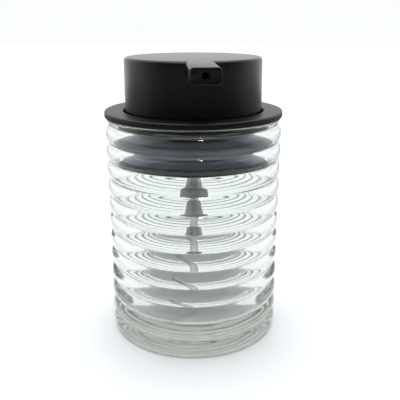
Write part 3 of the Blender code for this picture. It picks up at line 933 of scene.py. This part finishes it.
    def cage(self) -> Piece:
        """Builds the slotted disc over the inlet ball.

        Returns:
            The piece.
        """
        outer, low, high = extent("ball_cage")
        loop = soften(ring(self.cage_bore, outer, low, high), self.fillet)
        disc = turned_piece("valve_cage", loop, WHITE_PP, Body.LID, "ball_cage")
        size = (*self.slot, 4 * (high - low))  # high enough to cut right through
        for turn in self.slot_turns:
            cut_or_join(disc, box_shape(size, (0.0, 0.0, low), turn))
        return disc

    def spring(self) -> Piece:
        """Builds the coil spring, with a closed turn at each end.

        Returns:
            The piece.
        """
        outer, low, high = extent("main_spring")
        coil = outer - self.wire
        shape = bmesh.new()
        section = bmesh.ops.create_circle(shape, segments=self.wire_segments, radius=self.wire)["verts"]
        bmesh.ops.rotate(shape, verts=section, matrix=Matrix.Rotation(math.pi / 2, 3, "X"))
        bmesh.ops.translate(shape, verts=section, vec=(coil, 0.0, low + self.wire))
        middle = self.turns - 2
        open_pitch = (high - low - 2 * self.wire - 2 * self.closed_pitch) / middle
        geometry = section + list({edge for vert in section for edge in vert.link_edges})
        for turns, pitch in ((1, self.closed_pitch), (middle, open_pitch), (1, self.closed_pitch)):
            geometry = bmesh.ops.spin(
                shape, geom=geometry, cent=(0, 0, 0), axis=(0, 0, 1), dvec=(0, 0, pitch / self.turn_steps),
                angle=turns * FULL_TURN, steps=turns * self.turn_steps, use_merge=False,
            )["geom_last"]
        bmesh.ops.holes_fill(shape, edges=[e for e in shape.edges if e.is_boundary])
        bmesh.ops.recalc_face_normals(shape, faces=shape.faces)
        piece = place(new_piece(shape, "coil_spring"), STEEL, Body.LID, "main_spring")
        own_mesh(piece)
        return piece

    def tube(self) -> Piece:
        """Builds the dip tube: straight out of the nose, one even bend and a straight tail.

        Returns:
            The piece.
        """
        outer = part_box("dip_tube")[1].y
        top = extent("dip_tube")[2]
        bend_radius = self.tube_bend / self.tube_lean
        bend_height = top - self.tube_straight
        lean = Vector((-math.sin(self.tube_lean), 0.0, -math.cos(self.tube_lean)))
        shape = bmesh.new()
        loops = []
        for radius in (outer, outer - self.tube_wall):
            section = bmesh.ops.create_circle(shape, segments=self.tube_segments, radius=radius)["verts"]
            bmesh.ops.translate(shape, verts=section, vec=(0.0, 0.0, top))
            start = list({edge for vert in section for edge in vert.link_edges})
            edges = self.pull(shape, start, Vector((0.0, 0.0, -self.tube_straight)))
            verts = list({vert for edge in edges for vert in edge.verts})
            bend = bmesh.ops.spin(
                shape, geom=verts + edges, cent=(-bend_radius, 0.0, bend_height), axis=(0, 1, 0),
                angle=self.tube_lean, steps=self.bend_steps, use_merge=False,
            )
            edges = [item for item in bend["geom_last"] if isinstance(item, Edge)]
            end = self.pull(shape, edges, lean * self.tube_tail)
            loops.append((start, end))
        (outer_start, outer_end), (inner_start, inner_end) = loops
        bmesh.ops.bridge_loops(shape, edges=outer_start + inner_start)
        bmesh.ops.bridge_loops(shape, edges=outer_end + inner_end)
        bmesh.ops.recalc_face_normals(shape, faces=shape.faces)
        return place(new_piece(shape, "bent_tube"), TUBE_PE, Body.LID, "dip_tube")

    @staticmethod
    def pull(
        shape: Shape, edges: list[Edge], way: Vector
    ) -> list[Edge]:
        """Extrudes a loop of edges.

        Args:
            shape: The shape that it is part of.
            edges: The loop.
            way: How far and which way it goes.

        Returns:
            The new loop's edges.
        """
        made = bmesh.ops.extrude_edge_only(shape, edges=edges)["geom"]
        bmesh.ops.translate(shape, verts=[v for v in made if isinstance(v, bmesh.types.BMVert)], vec=way)
        return [e for e in made if isinstance(e, Edge)]

    @staticmethod
    def ball(valve: Body) -> Piece:
        """Builds the ball of a valve.

        Args:
            valve: The body that the ball is.

        Returns:
            The piece.
        """
        node = valve.value.replace("valve", "ball")
        low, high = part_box(node)
        shape = bmesh.new()
        bmesh.ops.create_icosphere(shape, subdivisions=4, radius=(high.z - low.z) / 2)
        bmesh.ops.translate(shape, verts=shape.verts, vec=(low + high) / 2)
        return place(new_piece(shape, f"{valve.value}_ball"), STEEL, valve, node)

    def build(self) -> list[Piece]:
        """Builds every piece of the pump that stays with the lid, and the balls.

        Returns:
            The pieces.
        """
        return [
            self.gasket(), self.cylinder(), self.collar(), self.guide(), self.seal(), self.cage(),
            self.spring(), self.tube(), self.ball(Body.INLET_VALVE), self.ball(Body.OUTLET_VALVE),
        ]


@dataclass
class Plunger:
    """Piston carrier and the two-lipped seal on it, which slide in the cylinder."""

    gap: float = 0.3 * MM
    stem_bore: float = 1.5 * MM
    socket: float = 3.1 * MM
    body_radius: float = 3.7 * MM
    flange: float = 1.0 * MM
    lip_reach: float = 0.35 * MM
    lip_height: float = 1.2 * MM
    fillet: float = 0.2 * MM

    def build(self) -> list[Piece]:
        """Builds the carrier and the seal.

        Returns:
            The two pieces.
        """
        rim, low, high = extent("piston_carrier")
        shelf = low + self.flange
        loop = [(self.socket, high), (self.body_radius, high), (self.body_radius, shelf), (rim, shelf)]
        loop += [(rim, low), (self.stem_bore, low), (self.stem_bore, shelf), (self.socket, shelf)]
        carrier = soften(loop, self.fillet)
        outer, low, high = extent("piston_seal")
        inner = self.body_radius + self.gap
        waist = outer - self.lip_reach
        edge = self.lip_height / 3
        loop = [(inner, high), (waist, high), (outer, high - edge), (waist, high - self.lip_height)]
        loop += [(waist, low + self.lip_height), (outer, low + edge), (waist, low), (inner, low)]
        seal = soften(loop, self.fillet)
        body = Body.PLUNGER
        return [
            turned_piece("carrier_moulding", carrier, WHITE_PP, body, "piston_carrier"),
            turned_piece("lip_seal", seal, CYLINDER_PP, body, "piston_seal"),
        ]


@dataclass
class Stem:
    """Hollow stem and the spout core that it carries, with the arm that feeds the spout."""

    gap: float = 0.3 * MM
    radius: float = 2.8 * MM
    bore: float = 1.5 * MM
    head_radius: float = 3.5 * MM
    head_bore: float = 2.3 * MM
    head_length: float = 6.2 * MM
    head_floor: float = 0.7 * MM
    core_radius: float = 5.2 * MM
    arm_width: float = 6.6 * MM
    arm_height: float = 3.9 * MM
    arm_bore: float = 1.3 * MM
    duct_start: float = 1.0 * MM  # a little past the axis
    arm_root: float = 3.6 * MM
    arm_round: float = 0.6 * MM
    chamber_roof: float = 0.5 * MM
    chamber_slot: Point = (1.4 * MM, 5.2 * MM)
    fillet: float = 0.25 * MM

    def stem(self) -> Piece:
        """Builds the hollow stem, with the ball's seat in its wider head.

        Returns:
            The piece.
        """
        _, low, high = extent("stem")
        shelf = high - self.head_length
        cone = shelf + self.head_floor
        loop = [(self.head_bore, high), (self.head_radius, high), (self.head_radius, shelf)]
        loop += [(self.radius, shelf), (self.radius, low), (self.bore, low), (self.bore, cone)]
        loop += [(self.head_bore, cone + self.head_bore - self.bore)]
        loop = soften(loop, self.fillet)
        return turned_piece("stem_moulding", loop, WHITE_PP, Body.HEAD, "stem")

    def core(self) -> Piece:
        """Builds the spout core: a cup on the stem with an arm to the spout.

        Returns:
            The piece.
        """
        low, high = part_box("spout_core")
        chamber = high.z - self.arm_height - self.chamber_roof
        socket = self.head_radius + self.gap
        loop = [(0.0, high.z), (self.core_radius, high.z), (self.core_radius, low.z), (socket, low.z)]
        loop += [(socket, chamber), (0.0, chamber)]
        profile = soften(loop, self.fillet, closed=False)
        core = new_piece(turned_shape(profile, SMALL_STEPS, closed=False), "core_moulding")
        length = -self.arm_root - low.y
        axis = high.z - self.arm_height / 2
        centre = Vector((0.0, low.y + length / 2, axis))
        size = Vector((self.arm_width, length, self.arm_height))
        cut_or_join(core, rounded_bar(size, centre, self.arm_round, 0.0), join=True)
        duct = rod_shape(self.arm_bore, self.duct_start, low.y - CUT_MARGIN, axis)
        cut_or_join(core, duct)
        slot = (*self.chamber_slot, 2 * (axis - chamber))
        cut_or_join(core, box_shape(slot, (0.0, 0.0, chamber)))
        return place(core, BLACK_ABS, Body.HEAD, "spout_core")

    def build(self) -> list[Piece]:
        """Builds the stem and the core and returns both."""
        return [self.stem(), self.core()]


# ---- studio ----


@dataclass
class Studio:
    """A lit white table with cards on it, soft light from behind, above and the sides, and the camera."""

    floor_size: float = 6.0
    floor_drop: float = 0.2 * MM  # so that the floor and the jar's foot don't share a plane
    camera_distance: float = 263.7 * MM
    camera_height: float = 144.8 * MM
    camera_round: float = math.radians(5.3)  # how far the camera stands round from the spout, towards -X
    camera_yaw: float = math.radians(0.64)
    camera_pitch: float = math.radians(17.6)
    camera_roll: float = math.radians(-0.08)
    lens_mm: float = 52.34
    sensor_mm: float = 36.0
    back_light: float = 1.15
    side_light: float = 1.0
    top_light: float = 2.9
    front_light: float = 0.06
    backdrop: float = 1.0  # plain wall behind the floor's edge, from any side
    sky: str = "fbfdff"
    card_front: float = -1.3  # where the black card starts, along Y
    card_start: float = -0.12  # where it ends and the grey ones start
    card_back: float = 0.7
    card_near: float = 0.12  # how near to the middle the grey ones come
    card_width: float = 1.2
    card_lift: float = 1.0 * MM
    spark_place: Point3 = (0.05, -0.5, 0.62)
    spark_size: float = 0.05
    spark_watts: float = 0.3

    @staticmethod
    def sheet(name: str, size: Point, centre: Point3, finish: Finish) -> Piece:
        """Makes a flat sheet that lies down.

        Args:
            name: Its name.
            size: Its width and length.
            centre: Its centre.
            finish: Its finish.

        Returns:
            The sheet.
        """
        shape = bmesh.new()
        bmesh.ops.create_grid(shape, x_segments=1, y_segments=1, size=0.5)
        bmesh.ops.scale(shape, verts=shape.verts, vec=(*size, 1.0))
        bmesh.ops.translate(shape, verts=shape.verts, vec=centre)
        sheet = new_piece(shape, name)
        sheet.data.materials.append(finish.material())
        return sheet

    def cards(self) -> list[Piece]:
        """Lays out the cards that keep the front of the black pieces dark.

        The camera and the light on other things don't see them, and the glass passes the black one alone.

        Returns:
            The black card in front and the grey ones at the sides.
        """
        start = self.card_start
        width = self.card_width
        lift = self.card_lift
        size = (2 * width, start - self.card_front)
        cards = [self.sheet("card_front", size, (0.0, (self.card_front + start) / 2, lift), CARD_BLACK)]
        aside = self.card_near + width / 2
        for name, x in (("card_left", -aside), ("card_right", aside)):
            centre = (x, (start + self.card_back) / 2, 2 * lift)
            cards.append(self.sheet(name, (width, self.card_back - start), centre, CARD_GREY))
        for card in cards:
            card.visible_camera = False
            card.visible_diffuse = False
            card.visible_shadow = False
            card.visible_transmission = card is cards[0]
        return cards

    def spark(self) -> Piece:
        """Adds a small lamp in front and above, for the glints on the glass.

        Returns:
            The lamp.
        """
        data = bpy.data.lights.new("glint_lamp", "AREA")
        data.energy = self.spark_watts
        data.size = self.spark_size
        lamp = add_object("glint_lamp", data)
        lamp.location = self.spark_place
        lamp.rotation_mode = "QUATERNION"
        lamp.rotation_quaternion = (-lamp.location).to_track_quat("-Z", "Y")
        return lamp

    def world(self) -> None:
        """Lights the scene: bright behind, above and at the sides, dim on the camera's side."""
        world = bpy.data.worlds.new("soft_tent")
        world.use_nodes = True
        bpy.context.scene.world = world
        tree = world.node_tree
        glow = tree.nodes["Background"].inputs
        direction = add_node(tree, "ShaderNodeTexCoord").outputs["Generated"]
        parts = add_node(tree, "ShaderNodeSeparateXYZ", links={"Vector": direction}).outputs
        # each part of the room fades in between two values of the direction's Y or Z
        ramps = (
            ("side", "Y", -0.5, 0.45), ("behind", "Y", 0.6, 0.95), ("above", "Z", 0.0, 0.12),
            ("top", "Z", 0.7, 1.0),
        )
        share = {}
        for name, axis, low, high in ramps:
            ramp = {"interpolation_type": "SMOOTHSTEP", "From Min": low, "From Max": high}
            node = add_node(tree, "ShaderNodeMapRange", ramp, {"Value": parts[axis]})
            share[name] = node.outputs["Result"]
        both = {0: share["behind"], 1: share["above"]}
        share["back"] = add_node(tree, "ShaderNodeMath", {"operation": "MULTIPLY"}, both).outputs[0]
        share["seen"] = add_node(tree, "ShaderNodeLightPath").outputs["Is Camera Ray"]
        lights = {
            "side": self.side_light, "back": self.back_light, "top": self.top_light, "seen": self.backdrop,
        }
        level: dict[str, Socket] = {}
        for name, light in lights.items():
            values = {"data_type": "FLOAT", "A": self.front_light, "B": light}
            mix = add_node(tree, "ShaderNodeMix", values, {"Factor": share[name], **level})
            level = {"A": mix.outputs["Result"]}
        glow["Color"].default_value = linear(self.sky)
        tree.links.new(level["A"], glow["Strength"])

    def camera(self) -> Piece:
        """Sets up the camera.

        Returns:
            The camera.
        """
        data = bpy.data.cameras.new("camera")
        data.lens = self.lens_mm
        data.sensor_width = self.sensor_mm
        data.clip_start = 0.01
        data.clip_end = 50.0
        camera = add_object("camera", data)
        turn = self.camera_round
        camera.location = (
            -self.camera_distance * math.sin(turn), -self.camera_distance * math.cos(turn), self.camera_height
        )
        heading = turn + self.camera_yaw
        forward = Vector((
            math.sin(heading) * math.cos(self.camera_pitch),
            math.cos(heading) * math.cos(self.camera_pitch),
            -math.sin(self.camera_pitch),
        ))
        roll = Quaternion((0.0, 0.0, 1.0), self.camera_roll)
        camera.rotation_mode = "QUATERNION"
        camera.rotation_quaternion = forward.to_track_quat("-Z", "Y") @ roll
        bpy.context.scene.camera = camera
        return camera

    def build(self) -> list[Piece]:
        """Builds the floor, the cards, the light and the camera.

        Returns:
            The objects of the studio.
        """
        self.world()
        scene = bpy.context.scene
        scene.view_settings.view_transform = "Standard"
        scene.cycles.max_bounces = 32
        scene.cycles.glossy_bounces = 24
        scene.cycles.transmission_bounces = 32
        floor = self.sheet("studio_floor", (self.floor_size,) * 2, (0.0, 0.0, -self.floor_drop), SHEET)
        return [floor, *self.cards(), self.spark(), self.camera()]


def main() -> None:
    """Builds every sub-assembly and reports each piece."""
    for assembly in (Studio(), Jar(), Lid(), Pump(), Plunger(), Stem(), Head()):
        for piece in assembly.build():
            log.info("%s: %s", type(assembly).__name__, piece.name)
    bpy.context.view_layer.update()


if __name__ == "__main__":
    logging.basicConfig(level=logging.INFO, format="%(message)s")
    main()
